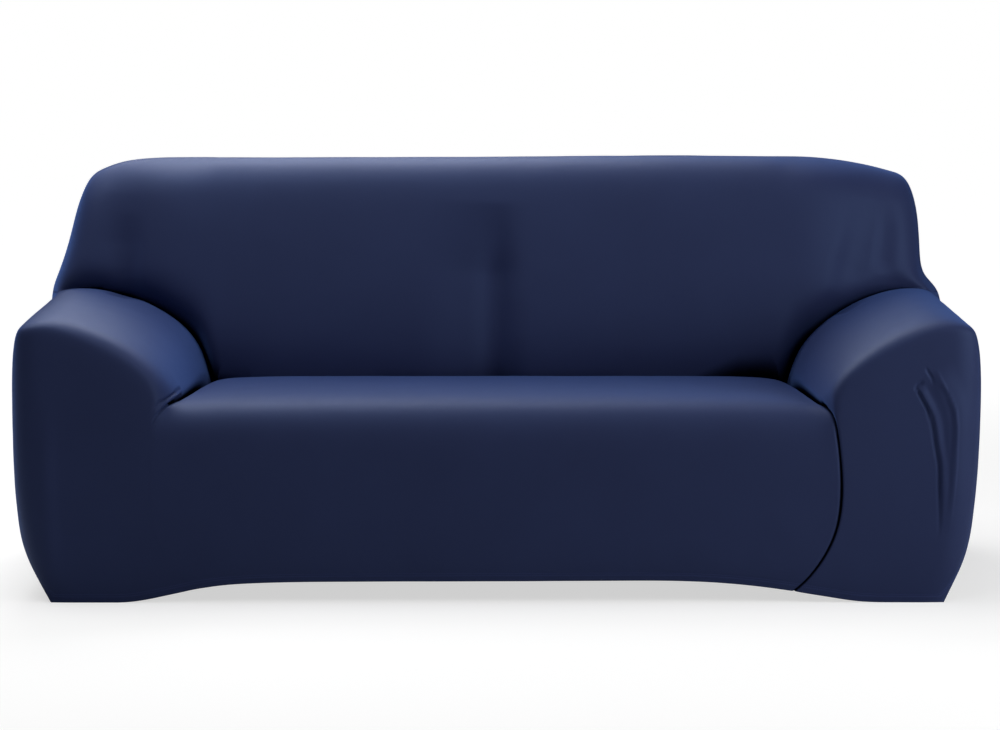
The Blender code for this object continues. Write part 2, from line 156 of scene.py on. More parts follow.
HEM_TABLE = (  # station, height of the front hem on the left, and on the right
    (0.00, 0.045, 0.045),
    (0.43, 0.044, 0.047),
    (0.565, 0.040, 0.035),
    (0.66, 0.028, 0.024),
    (0.81, 0.000, 0.001),
    (1.00, 0.000, 0.000),
)
REAR_HEM_TABLE = (  # station, height of the outside back's hem
    (0.00, 0.030),
    (0.66, 0.030),
    (0.81, 0.000),
)
SIDE_HEM_TABLE = (  # distance from the front, height of the outer side's hem between the feet
    (0.00, 0.000),
    (0.07, 0.080),
    (0.18, 0.096),
    (0.70, 0.096),
    (0.80, 0.080),
    (0.88, 0.000),
)
POCKET_TABLE = (  # station, how far the tuck is pushed in beside the back cushions
    (0.565, 0.000),
    (0.660, 0.025),
    (0.740, 0.000),
)
TUCK_TABLE = (  # station, depth of the tuck
    (0.000, 0.045),
    (0.660, 0.030),
    (0.685, 0.024),
    (0.810, 0.014),
    (1.000, 0.004),
)
DIP_TABLE = (  # station, depth of the dip in front of the tuck
    (0.660, 0.005),
    (0.740, 0.000),
)
TUCK_CREASE_TABLE = (  # station, how sharp the tuck in front of the back is
    (0.880, 1.0),
    (0.955, 0.5),
)
SEAM_TABLE = (  # height, distance of the front seam from the centre
    (0.020, 0.620),
    (0.045, 0.648),
    (0.070, 0.676),
    (0.100, 0.704),
    (0.159, 0.721),
    (0.242, 0.7246),
    (0.325, 0.720),
    (0.397, 0.704),
    (0.424, 0.683),
    (0.440, 0.668),
)
OUTER_TABLE = (  # height, left and right outer line of the arm
    (0.00, 0.930, 0.940),
    (0.05, 0.975, 0.982),
    (0.10, 1.006, 1.008),
    (0.25, 1.014, 1.016),
    (0.40, 1.015, 1.023),
    (0.60, 1.014, 1.020),
)
BACK_TABLE = (  # height, left and right side of the back
    (0.60, 1.012, 0.982),
    (0.64, 0.994, 0.969),
    (0.70, 0.973, 0.971),
    (0.81, 0.948, 0.962),
    (0.90, 0.945, 0.960),
)
CROWN_TABLE = (  # station, how far the crown drops towards the left and the right corner
    (0.00, 0.006, 0.006),
    (0.43, 0.007, 0.002),
    (0.74, 0.007, 0.006),
    (0.81, 0.008, 0.011),
    (0.88, 0.013, 0.022),
    (0.92, 0.021, 0.031),
    (0.955, 0.033, 0.040),
    (1.000, 0.050, 0.050),
)
FACE_TABLE = (  # height, distance of the inside back's face from the front
    (0.375, 0.535),
    (0.457, 0.512),
    (0.616, 0.542),
    (0.805, 0.588),
)
WING_TABLE = (  # station, how far the inside back steps back beside the cushions
    (0.74, 0.000),
    (0.81, 0.016),
    (0.88, 0.048),
    (0.92, 0.060),
    (1.00, 0.068),
)

Fold = namedtuple("Fold", "face line reach height fades")
# A soft ridge (height over 0) or trough (under 0). Its line is points of distance from the centre
# and height on the front or the inside back, reach is how far it spreads to each side, and fades
# are the shares of its length over which it rises and dies away.
FOLDS = (
    Fold("back", ((-0.838, 0.585), (-0.833, 0.66), (-0.825, 0.78)), 0.060, -0.011, (0.0, 0.7)),
    Fold("back", ((0.765, 0.555), (0.815, 0.68), (0.850, 0.80)), 0.060, -0.007, (0.0, 0.6)),
    Fold("front", ((-0.930, 0.440), (-0.932, 0.250), (-0.925, 0.060)), 0.030, 0.003, (0.3, 0.2)),
)

# ---------------------------------------------------------------------------------------------
# Fine shaping that only the looks need: grooves where the cloth is tucked or sewn, with painted shade
# in them, and creases.

Crease = namedtuple("Crease", "face line left right height fades")
# A ridge (height over 0) or trough (under 0) as seen from the front, on the front or on the
# inside back. Its points are distance from the centre and height. left and right are how far its
# two flanks spread, on the left and the right of a line that is seen to run down.
DRAG_HIGH = ((-0.652, 0.440), (-0.678, 0.430), (-0.696, 0.422), (-0.712, 0.404))
DRAG_LOW = ((-0.640, 0.430), (-0.664, 0.424), (-0.684, 0.412), (-0.704, 0.392), (-0.712, 0.376))
DRAG_RIDGE = ((-0.655, 0.436), (-0.688, 0.416), (-0.708, 0.396))
HOOK = ((0.892, 0.494), (0.905, 0.472), (0.910, 0.456))
PINCH = (
    *((0.874, 0.448), (0.893, 0.415), (0.906, 0.385)),
    *((0.913, 0.340), (0.922, 0.290), (0.925, 0.140)),
)
PINCH_LIP = (
    *((0.878, 0.454), (0.900, 0.415), (0.914, 0.380)),
    *((0.921, 0.335), (0.929, 0.290), (0.932, 0.150)),
)
PINCH_DIMPLE = ((0.868, 0.446), (0.876, 0.458), (0.890, 0.466))
PLEAT = (
    *((0.912, 0.494), (0.928, 0.462), (0.943, 0.432), (0.955, 0.405)),
    *((0.959, 0.370), (0.957, 0.290), (0.946, 0.150)),
)
PLEAT_GAP = ((0.918, 0.470), (0.935, 0.436), (0.946, 0.405), (0.951, 0.370), (0.948, 0.300))
CUSHION_VALLEY = ((0.000, 0.340), (0.000, 0.600), (0.008, 0.800))
WING_STREAK = ((0.884, 0.800), (0.880, 0.740), (0.862, 0.640))
LEFT_WING = ((-0.838, 0.820), (-0.840, 0.700), (-0.834, 0.605))
RIGHT_WING = ((0.838, 0.810), (0.805, 0.690), (0.768, 0.600))
CREASES = (
    Crease("back", CUSHION_VALLEY, 0.075, 0.180, -0.022, (0.0, 0.32)),
    Crease("back", CUSHION_VALLEY, 0.040, 0.060, -0.010, (0.0, 0.35)),
    Crease("back", WING_STREAK, 0.030, 0.040, -0.005, (0.4, 0.2)),
    Crease("back", LEFT_WING, 0.080, 0.100, -0.007, (0.7, 0.5)),
    Crease("back", RIGHT_WING, 0.060, 0.090, -0.008, (0.5, 0.3)),
    Crease("front", DRAG_HIGH, 0.004, 0.004, -0.0040, (0.2, 0.4)),
    Crease("front", DRAG_LOW, 0.005, 0.004, -0.0050, (0.1, 0.4)),
    Crease("front", DRAG_RIDGE, 0.005, 0.005, 0.0025, (0.2, 0.5)),
    Crease("front", HOOK, 0.006, 0.005, -0.0025, (0.2, 0.5)),
    Crease("front", PINCH, 0.006, 0.005, -0.0042, (0.03, 0.35)),
    Crease("front", PINCH_LIP, 0.005, 0.016, 0.0032, (0.05, 0.3)),
    Crease("front", PINCH_DIMPLE, 0.006, 0.006, -0.0035, (0.3, 0.3)),
    Crease("front", PLEAT_GAP, 0.012, 0.008, -0.0020, (0.2, 0.6)),
    Crease("front", PLEAT, 0.034, 0.040, 0.0050, (0.10, 0.25)),
    Crease("front", PLEAT, 0.014, 0.005, 0.0022, (0.10, 0.30)),
)
CREASED = {  # a crease works between two depths, where the cloth's normal has a y below the third
    "front": (-1.0, -0.30, 0.2),
    "back": (0.02, 1.0, -0.1),
}

# Where the seat's seams turn from the top onto the front.
SEAM_TURN = 0.43  # height
SEAM_FACE = -0.40  # depth
ARM_TUCK_END = 0.27  # behind this depth the arms' seam with the back is a plain one
# A groove's depth, how far its lips reach to each side, and how far the painted shade in it reaches.
REAR_GROOVE = (0.0012, 0.003, 0.0013)
TUCK_GROOVE_TABLE = (  # across, from the left to the right, and the groove between back and seat
    (-0.63, 0.050, 0.055, 0.066),
    (-0.56, 0.042, 0.050, 0.028),
    (0.44, 0.040, 0.050, 0.028),
    (0.54, 0.046, 0.055, 0.080),
    (0.60, 0.050, 0.055, 0.086),
    (0.64, 0.050, 0.055, 0.064),
)
ARM_TUCK_TABLE = (  # distance from the centre, and the groove there
    (0.60, 0.060, 0.060, 0.088),
    (0.66, 0.052, 0.050, 0.045),
    (0.72, 0.042, 0.042, 0.026),
    (0.80, 0.028, 0.030, 0.016),
    (0.88, 0.016, 0.020, 0.009),
    (0.94, 0.004, 0.008, 0.002),
    (0.98, 0.0012, 0.003, 0.000),
)
LEFT_SEAM_TABLE = (  # depth, and the groove on the seat's left
    (-0.43, 0.000, 0.006, 0.000),
    (-0.38, 0.012, 0.012, 0.006),
    (-0.25, 0.018, 0.016, 0.010),
    (-0.10, 0.022, 0.020, 0.014),
    (0.08, 0.050, 0.040, 0.020),
)
RIGHT_SEAM_TABLE = (  # the same on the seat's right
    (-0.42, 0.011, 0.009, 0.005),
    (-0.36, 0.015, 0.013, 0.008),
    (-0.10, 0.022, 0.022, 0.016),
    (0.08, 0.050, 0.040, 0.022),
)
RIGHT_FRONT_TABLE = (  # height, and the groove down the front on the right
    (0.02, 0.0060, 0.0065, 0.0038),
    (0.22, 0.0075, 0.0075, 0.0048),
    (0.37, 0.0085, 0.0080, 0.0034),
    (0.43, 0.0110, 0.0090, 0.0045),
)
FLAT_SEAM = (0.0, 0.004, 0.0)  # down the front on the left, where the seam hardly shows
PAINTED_SHADE_EDGE = 1.5  # how crisp the painted shade's edge is
UNDER_ARM = 0.5  # share of a groove's depth by which the seat's seams are drawn in under the arms
LIP_SHARE = 0.45  # of the reach and the painted shade, on the arms and the seat where the back meets them

FINE_PLACES = (  # where the creases are too fine for the cover's mesh, and how far around
    ((-0.690, -0.420, 0.405), 0.075),
    ((0.888, -0.440, 0.450), 0.050),
)
FINE_SEAM = 0.012  # and this near to the sewn seams
FINE_EDGE = 0.003  # longer edges are split there
FINE_CUTS = 2
BACK_OF_FRONT = 0.35  # only the seams in front of this depth are that fine

WAVES = ((7.0, 0.7), (19.0, 0.3))  # waves a metre, and their share of the unevenness
TINY = 1e-6  # keeps what is divided by over 0

WHOLE = "whole_cover"
FLOOR_GAP = 0.0003  # the hem's lowest point over the floor
HEM, SEWN = 1, 2  # kinds of border
HEM_ZONE = 0.05  # the hem's height is measured up to here
HEM_ZONE_TOP = 0.16  # and only below this height
HEM_STITCH = 0.013  # the lower row of coverstitch over the edge
STITCH_ROWS = 0.0045  # between the rows
HEM_GROOVE = 0.007  # half width of the groove that they pull
THREAD = 0.0009  # half the thread's width, drawn coarse
STITCH_SHARE = 0.72  # of a stitch's length that its thread shows
LOOP_SHARE = 0.3  # height of a loop, against that of its column of stitches
KNIT_RELIEF = 0.00012
THREAD_RELIEF = 0.0003
GROOVE_RELIEF = 0.0008
CLOUD_SIZE = 0.22  # of the patches where the navy is a little lighter

MIX_FACTOR, MIX_FIRST, MIX_SECOND, MIX_RESULT = 0, 6, 7, 2  # a colour Mix node's sockets

# The camera.
LENS, SENSOR = 122.47, 36.0  # millimetres
CAMERA_GAP = 7.0  # from the camera to the front of the cover
CAMERA_HEIGHT = 1.255
CAMERA_TILT = 6.154  # degrees down
CAMERA_TURN = 0.084  # degrees to the right

GLOW_START, GLOW_END = 1.6, 5.0  # the floor grows white between these distances from the middle

# Softboxes: name, degrees round from the cover's right side, degrees up, watts and, where the box
# doesn't face the middle of the cover, the point that it faces.
LAMP_SIZE = 2.0
LAMP_REACH = 3.2
LAMPS = (
    ("front_right", 330, 15, 38.0),
    ("front_left", 255, 45, 16.0),
    ("rear", 105, 45, 55.0),
    ("top", 90, 90, 19.0),
    ("top_left", 90, 90, 42.0, (-1.6, 0.3, -0.3)),
)


def along(table, at, value=1):
    """The value of a table's column at a station or height, on the lines between its rows."""
    rows = np.array(table)
    return float(np.interp(at, rows[:, 0], rows[:, value]))


def sided(side):
    """The table column that holds the left or the right value."""
    return 1 if side < 0 else 2


def at_side(pair, side):
    """The left or the right one of two values."""
    return pair.left if side < 0 else pair.right


def across(station, seam, outer):
    """Where a column lies, given where the seam column and the outer line are."""
    if station <= SEAM:
        return station * seam / SEAM
    return seam + (station - SEAM) / (1 - SEAM) * (outer - seam)


def rounded(station, seam, outer, radius):
    """Distance from the centre and set-back of a column that turns the corner to the outer side."""
    start = 1 - radius
    if station <= start:
        return across(station, seam, outer), 0.0
    turn = np.pi / 4 * (station - start) / radius
    return outer - radius + radius * np.sin(turn), radius * (1 - np.cos(turn))


def front_point(station, side, level):
    top = along(TOP_TABLE, station, sided(side))
    radius = along(EDGE_TABLE, station)
    hem = along(HEM_TABLE, station, sided(side))
    if level == TOP_LEVEL:
        z, y = top - HALFWAY * radius, HALFWAY * radius
    else:
        z, y = hem + (top - radius - hem) * LOW_SHARES[level], 0.0
    y += HEM_DRAW_IN.get(level, 0.0)
    corner = min(ARM_SIDE_RADIUS, SMALLEST_CORNER + CORNER_GROWTH * z)
    x, back = rounded(station, along(SEAM_TABLE, z), along(OUTER_TABLE, z, sided(side)), corner)
    return x, y + back, z


def row_depth(station, row):
    """Distance from the front of a row's point on the seat, the arm top or the roll."""
    here = ROWS[row]
    if station <= SEAM:
        return here.seat
    seam = SEAM_SHARE * here.seat + (1 - SEAM_SHARE) * here.arm
    return along(((SEAM, seam), (ARM_MIDDLE, here.arm), (1.0, here.side)), station)


def top_point(station, side, row):
    share = row / TUCK_ROW
    front, back = (along(TOP_TABLE, station, sided(side) + at_back) for at_back in (0, 2))
    z = (1 - share) * front + share * back
    seam = at_side(SEAM_FRONT, side) - at_side(SEAM_LEAN, side) * share
    outer = HALF_WIDTH - HALFWAY * ARM_SIDE_RADIUS
    x = across(station, seam, outer + ARM_EASE)
    if station == 1.0:
        x = outer
    y = row_depth(station, row)
    if row == TUCK_ROW:
        y += along(POCKET_TABLE, station)
        z -= along(TUCK_TABLE, station)
    if row == TUCK_ROW - 1:
        z -= along(DIP_TABLE, station)
    return x, y, z


def face_depth(station, z):
    """Distance from the front of the inside back, its set-back wing included."""
    return along(FACE_TABLE, z) + along(WING_TABLE, station)


def roll_start(station, side):
    """Height at which the top roll begins."""
    return HEIGHT - ROLL_RADIUS - CROWN_EFFECT * along(CROWN_TABLE, station, sided(side))


def inside_back_point(station, side, level):
    foot = top_point(station, side, TUCK_ROW)
    drop = along(CROWN_TABLE, station, sided(side))
    begin = roll_start(station, side)
    if level < LAST_LEVEL:
        z = foot[2] + (begin - foot[2]) * HIGH_SHARES[level - TOP_LEVEL]
        y = face_depth(station, z)
    else:
        z = HEIGHT - HALFWAY * ROLL_RADIUS - drop
        y = face_depth(station, begin) + HALFWAY * ROLL_RADIUS
    half = along(BACK_TABLE, z, sided(side))
    x = across(station, SEAM_ON_BACK, half - HALFWAY * WING_RADIUS + CORNER_EASE)
    if station == 1.0:
        x = half - HALFWAY * WING_RADIUS
        y += HALFWAY * WING_RADIUS
    return x, y, z


def back_top_point(station, side, row):
    drop = along(CROWN_TABLE, station, sided(side))
    z = HEIGHT + CROWN_RISE - drop
    half = along(BACK_TABLE, z, sided(side))
    x = across(station, SEAM_ON_BACK, half - HALFWAY * WING_RADIUS + CORNER_EASE)
    if station == 1.0:
        x = half - HALFWAY * WING_RADIUS
    return x, row_depth(station, row), z


def outside_back_point(station, side, level):
    if level < TOP_LEVEL:
        top = ARM_HEIGHT - ARM_SIDE_RADIUS
        hem = along(REAR_HEM_TABLE, station)
        z = hem + (top - hem) * LOW_SHARES[level]
    elif level == TOP_LEVEL:
        z = ARM_HEIGHT + REAR_RISE
    elif level < LAST_LEVEL:
        share = REAR_SHARES[level - TOP_LEVEL - 1]
        z = ARM_HEIGHT + (roll_start(station, side) - ARM_HEIGHT) * share
    else:
        z = HEIGHT - HALFWAY * ROLL_RADIUS - along(CROWN_TABLE, station, sided(side))
    y = DEPTH - REAR_DRAW_IN.get(level, 0.0)
    if level == LAST_LEVEL:
        y = DEPTH - HALFWAY * ROLL_RADIUS
    table = OUTER_TABLE if level <= TOP_LEVEL else BACK_TABLE
    outer = along(table, z, sided(side))
    x = across(station, SEAM, outer - HALFWAY * REAR_RADIUS + CORNER_EASE)
    if station == 1.0:
        x = outer - HALFWAY * REAR_RADIUS
        y -= HALFWAY * REAR_RADIUS
    return x, y, z


def side_point(side, row, level):
    y = ROWS[row].side
    if level < TOP_LEVEL:
        hem = along(SIDE_HEM_TABLE, y)
        top = ARM_HEIGHT - ARM_SIDE_RADIUS
        z = hem + (top - hem) * LOW_SHARES[level]
        x = along(OUTER_TABLE, z, sided(side)) - HEM_DRAW_IN.get(level, 0.0)
    elif level == TOP_LEVEL:
        z = ARM_HEIGHT + SIDE_RISE
        x = along(OUTER_TABLE, z, sided(side))
    else:
        z = ARM_HEIGHT + (roll_start(1.0, side) - ARM_HEIGHT) * HIGH_SHARES[level - TOP_LEVEL]
        x = along(BACK_TABLE, z, sided(side))
    return x, y, z


def lattice_point(column, row, level):
    """The cage's point, in metres, with the depth centred on the origin."""
    station = abs(STATIONS[column])
    side = -1 if column < LAST_COLUMN / 2 else 1
    if row == 0:
        x, y, z = front_point(station, side, level)
    elif row == LAST_ROW:
        x, y, z = outside_back_point(station, side, level)
    elif level == TOP_LEVEL and row <= TUCK_ROW:
        x, y, z = top_point(station, side, row)
    elif level == LAST_LEVEL and row > TUCK_ROW:
        x, y, z = back_top_point(station, side, row)
    elif row == TUCK_ROW and level > TOP_LEVEL:
        x, y, z = inside_back_point(station, side, level)
    else:
        x, y, z = side_point(side, row, level)
    return Vector((side * x, y - DEPTH / 2, z))


def rear_panel(column, level):
    """The panel that holds a face at the back: its outer strips belong to the sides and the top."""
    left, right = column == 0, column == LAST_COLUMN - 1
    if level == LAST_LEVEL - 1 or level >= TOP_LEVEL and (left or right):
        return INSIDE_BACK
    return LEFT_ARM if left else RIGHT_ARM if right else OUTSIDE_BACK


# ---------------------------------------------------------------------------------------------
# Sizes and colours that a user may change.

def linear(code):
    """Turns an sRGB hex colour such as "#24294F" into the linear values that shaders take."""
    shares = [int(code[at : at + 2], 16) / 255 for at in (1, 3, 5)]
    return tuple(c / 12.92 if c <= 0.04045 else ((c + 0.055) / 1.055) ** 2.4 for c in shares)


def length(name, description, default):
    return bpy.props.FloatProperty(
        name=name, description=description, default=default, min=0.0, unit="LENGTH", precision=5
    )


def colour(name, description, code):
    return bpy.props.FloatVectorProperty(
        name=name, description=description, default=linear(code), subtype="COLOR", min=0.0, max=1.0
    )


class CoverSizes(bpy.types.PropertyGroup):
    smoothing: bpy.props.IntProperty(
        name="Smoothing", description="Subdivisions of the cage", default=4, min=1, max=5
    )
    seam_gap: length("Seam gap", "Space between two panels' edges", 0.0002)
    seam_allowance: length("Seam allowance", "How far a sewn edge is turned in", 0.007)
    hem_fold: length("Hem fold", "Space between the hem's two layers", 0.0022)
    hem_width: length("Hem width", "How far the hem is turned up on the inside", 0.018)
    wave: length("Unevenness", "Height of the cloth's slow, irregular waves", 0.0009)


class JerseyFinish(bpy.types.PropertyGroup):
    navy: colour("Navy", "The jersey's main colour", "#2A2F52")
    light_navy: colour("Light navy", "Where the stretch opens the stitches a little", "#2F365C")
    thread: colour("Thread", "The coverstitch thread of the hem", "#353C6B")
    gloss: colour("Gloss", "Tint of the yarn's soft gloss", "#9CC2FF")
    sheen: colour("Sheen", "Tint of the fibres that catch the light", "#6C9CFF")
    # Painted shade: near-black mixed over the cloth in its tucks and seams, where shade falls.
    painted_shade_colour: colour("Deep shade", "The navy in the depths of the tucks, which hold no light", "#020308")
    wale: length("Wale pitch", "Width of one column of knit stitches, drawn coarse", 0.0022)
    course: length("Course pitch", "Height of one row of knit stitches, drawn coarse", 0.0018)
    stitch: length("Stitch length", "Pitch of the hem's coverstitch", 0.0045)


class StageSettings(bpy.types.PropertyGroup):
    floor: colour("Floor", "The floor's colour", "#BCBCBC")
    floor_glow: bpy.props.FloatProperty(
        name="Floor glow", description="How white the floor is by the cover", default=0.62, min=0.0
    )
    floor_size: length("Floor size", "Side of the floor", 60.0)


# ---------------------------------------------------------------------------------------------
# The whole cover.

def strip_places():
    """Lattice places from the front hem up, over the seat, the back and down to the rear hem."""
    places = [(0, level) for level in range(TOP_LEVEL + 1)]
    places += [(row, TOP_LEVEL) for row in range(1, TUCK_ROW + 1)]
    places += [(TUCK_ROW, level) for level in range(TOP_LEVEL + 1, LAST_LEVEL + 1)]
    places += [(row, LAST_LEVEL) for row in range(TUCK_ROW + 1, LAST_ROW + 1)]
    return places + [(LAST_ROW, level) for level in range(LAST_LEVEL - 1, -1, -1)]


def cloth_coordinates():
    """For each lattice place on the strip, its distance across and along the cloth in metres."""
    places = strip_places()
    columns = range(LAST_COLUMN + 1)
    grid = np.array([[lattice_point(i, *place)[:] for i in columns] for place in places])

    def run(axis):
        steps = np.linalg.norm(np.diff(grid, axis=axis), axis=2)
        return np.insert(np.cumsum(steps, axis=axis), 0, 0.0, axis=axis)

    across_run, along_run = run(1), run(0)
    across_run -= across_run[:, LAST_COLUMN // 2, None]
    return {
        (i, *place): (across_run[s, i], along_run[s, i])
        for s, place in enumerate(places)
        for i in columns
    }


def cover_cage():
    """The cage of the whole cover, each face marked with its panel, its tucks creased."""
    bm = bmesh.new()
    crease = bm.edges.layers.float.new("crease_edge")
    corner = bm.verts.layers.float.new("crease_vert")
    cloth = bm.loops.layers.uv.new("cloth")
    run = cloth_coordinates()
    verts = {}

    def vert(*place):
        if place not in verts:
            verts[place] = bm.verts.new(lattice_point(*place))
        return verts[place]

    def face(panel, *places):
        made = bm.faces.new([vert(*place) for place in places])
        made.material_index = panel
        flank = len({place[0] for place in places}) == 1
        for loop, place in zip(made.loops, places):
            point = lattice_point(*place)
            loop[cloth].uv = (point.y, point.z) if flank else run[place]

    def patch(panel, first, second, place):
        """Faces over a stretch of the lattice; place turns the two counts into a lattice place."""
        for a in first:
            for b in second:
                face(panel, place(a, b), place(a + 1, b), place(a + 1, b + 1), place(a, b + 1))

    columns = range(LAST_COLUMN)
    rows, back_rows = range(LAST_ROW), range(TUCK_ROW, LAST_ROW)
    low, high = range(TOP_LEVEL), range(TOP_LEVEL, LAST_LEVEL)
    between_seams = {
        LEFT_ARM: range(LEFT_SEAM),
        SEAT: range(LEFT_SEAM, RIGHT_SEAM),
        RIGHT_ARM: range(RIGHT_SEAM, LAST_COLUMN),
    }
    for panel, span in between_seams.items():
        patch(panel, span, low, lambda i, k: (i, 0, k))
        patch(panel, span, range(TUCK_ROW), lambda i, j: (i, j, TOP_LEVEL))
    patch(INSIDE_BACK, columns, high, lambda i, k: (i, TUCK_ROW, k))
    patch(INSIDE_BACK, columns, back_rows, lambda i, j: (i, j, LAST_LEVEL))
    for i in columns:
        for k in range(LAST_LEVEL):
            patch(rear_panel(i, k), (k,), (i,), lambda k, i: (i, LAST_ROW, k))
    patch(LEFT_ARM, low, rows, lambda k, j: (0, j, k))
    patch(INSIDE_BACK, high, back_rows, lambda k, j: (0, j, k))
    patch(RIGHT_ARM, rows, low, lambda j, k: (LAST_COLUMN, j, k))
    patch(INSIDE_BACK, back_rows, high, lambda j, k: (LAST_COLUMN, j, k))

    def sharpen(start, end, sharpness):
        bm.edges.get((verts[start], verts[end]))[crease] = sharpness

    for i in columns:
        station = min(abs(STATIONS[i]), abs(STATIONS[i + 1]))
        sharpness = along(TUCK_CREASE_TABLE, station)
        sharpen((i, TUCK_ROW, TOP_LEVEL), (i + 1, TUCK_ROW, TOP_LEVEL), sharpness)
    for column in (LEFT_SEAM, RIGHT_SEAM):
        for j in range(TUCK_ROW):
            sharpness = SEAM_CREASE if j else SEAM_START_CREASE
            sharpen((column, j, TOP_LEVEL), (column, j + 1, TOP_LEVEL), sharpness)
    for k in low:
        sharpen((RIGHT_SEAM, 0, k), (RIGHT_SEAM, 0, k + 1), FRONT_SEAM_CREASE)
    for foot in ((0, 0, 0), (LAST_COLUMN, 0, 0), (0, LAST_ROW, 0), (LAST_COLUMN, LAST_ROW, 0)):
        verts[foot][corner] = 1.0
    return bm


def smooth_cover(levels):
    """The whole cover as one smoothed mesh."""
    bm = cover_cage()
    mesh = bpy.data.meshes.new("cover")
    bm.to_mesh(mesh)
    bm.free()
    cage = bpy.data.objects.new("cover", mesh)
    bpy.context.scene.collection.objects.link(cage)
    smoother = cage.modifiers.new("Subdivision", "SUBSURF")
    smoother.levels = levels
    smoother.render_levels = levels
    smoother.use_limit_surface = True
    smoother.uv_smooth = "NONE"
    depsgraph = bpy.context.evaluated_depsgraph_get()
    cover = bpy.data.meshes.new_from_object(cage.evaluated_get(depsgraph))
    bpy.data.objects.remove(cage)
    bpy.data.meshes.remove(mesh)
    return cover


def line_points(fold):
    """The fold's line, laid on the cover's front or inside back."""
    depth = {"front": lambda x, z: 0.0, "back": face_depth}[fold.face]
    return [Vector((x, depth(abs(x), z) - DEPTH / 2, z)) for x, z in fold.line]


def near_line(places, points):
    """For each place, its distance from the line, the share of the line's length reached there, and
    whether it lies to the right, where the first axis is across and the line runs down the second."""
    spans = [(b - a).length for a, b in zip(points, points[1:])]
    nearest = np.full(len(places), np.inf)
    share = np.zeros(len(places))
    right = np.zeros(len(places), dtype=bool)
    run = 0.0
    for a, b, span in zip(points, points[1:], spans):
        way = np.array(b - a) / span
        offset = places - np.array(a)
        reached = np.clip(offset @ way, 0.0, span)
        gap = np.linalg.norm(offset - reached[:, None] * way, axis=1)
        closer = gap < nearest
        nearest[closer] = gap[closer]
        share[closer] = (run + reached[closer]) / sum(spans)
        right[closer] = (way[1] * offset[:, 0] - way[0] * offset[:, 1] < 0)[closer]
        run += span
    return nearest, share, right


def faded(share, fades):
    """How much of its height a fold has at a share of its length."""
    rise, fall = (max(fade, TINY) for fade in fades)
    return np.clip(share / rise, 0, 1) * np.clip((1 - share) / fall, 0, 1)


def swell(gap, reach):
    """A soft bump: 1 on the line, 0 from reach outwards."""
    return np.cos(np.pi / 2 * np.minimum(gap / reach, 1.0)) ** 2


def fold_heights(places):
    """How far each place of the cover stands out of, or sinks below, its smooth shape."""
    heights = np.zeros(len(places))
    for fold in FOLDS:
        gap, share, _ = near_line(places, line_points(fold))
        heights += fold.height * swell(gap, fold.reach) * faded(share, fold.fades)
    return heights


def crease_heights(places, normals):
    """The same for the creases, whose two flanks may differ."""
    heights = np.zeros(len(places))
    depth, facing = places[:, 1], normals[:, 1]
    flat = places[:, (0, 2, 1)] * (1.0, 1.0, 0.0)
    for crease in CREASES:
        nearest, furthest, turned = CREASED[crease.face]
        near = np.flatnonzero((depth > nearest) & (depth < furthest) & (facing < turned))
        points = [Vector((x, z, 0.0)) for x, z in crease.line]
        gap, share, on_right = near_line(flat[near], points)
        reach = np.where(on_right, crease.right, crease.left)
        heights[near] += crease.height * swell(gap, reach) * faded(share, crease.fades)
    return heights


def numbers(items, name, width=1):
    """The whole numbers that each item of a collection holds, as one array."""
    found = np.empty(len(items) * width, dtype=np.int32)
    items.foreach_get(name, found)
    return found


def vectors(items, name):
    """One vector of each item of a collection, as the rows of an array."""
    found = np.empty(len(items) * 3, dtype=np.float32)
    items.foreach_get(name, found)
    return found.reshape(-1, 3).astype(float)


def coordinates(mesh):
    """A mesh's points and their normals as arrays."""
    return vectors(mesh.vertices, "co"), vectors(mesh.vertex_normals, "vector")


def at_corners(mesh, values):
    """The faces' values, once for each of their corners."""
    return np.repeat(values, numbers(mesh.polygons, "loop_total"))


def corner_panels(mesh):
    """The panel that each face corner belongs to."""
    return at_corners(mesh, numbers(mesh.polygons, "material_index"))


def edge_panels(mesh):
    """For each edge, how many faces meet there, and the first and the last panel among them."""
    edges, panels = numbers(mesh.loops, "edge_index"), corner_panels(mesh)
    uses = np.bincount(edges, minlength=len(mesh.edges))
    first = np.full(len(mesh.edges), len(PANELS), dtype=np.int32)
    last = np.full(len(mesh.edges), -1, dtype=np.int32)
    np.minimum.at(first, edges, panels)
    np.maximum.at(last, edges, panels)
    return uses, first, last


def edge_ends(mesh):
    """The two vertices of each edge."""
    return numbers(mesh.edges, "vertices", 2).reshape(-1, 2)


def keep(mesh, name, values, kind="FLOAT", domain="POINT", field="value"):
    """Stores values with a mesh, under a name that the materials and the cutting read."""
    mesh.attributes.new(name, kind, domain).data.foreach_set(field, values)


def put_back(mesh, places):
    mesh.vertices.foreach_set("co", places.ravel())
    mesh.update()


def sewn_vertices(mesh):
    """The vertices on the seams, each with the two panels that meet there."""
    _, first, last = edge_panels(mesh)
    sewn = np.flatnonzero(first < last)
    seams = {}
    for ends, *panels in zip(edge_ends(mesh)[sewn].tolist(), first[sewn], last[sewn]):
        for vertex in ends:
            seams[vertex] = set(panels)
    return seams


def nearest_seam(places, seams):
    """For each place, the nearest vertex on a seam and how far it is."""
    tree = KDTree(len(seams))
    for vertex in seams:
        tree.insert(places[vertex], vertex)
    tree.balance()
    found = [tree.find(place)[1:] for place in places]
    return np.array([vertex for vertex, _ in found]), np.array([gap for _, gap in found])


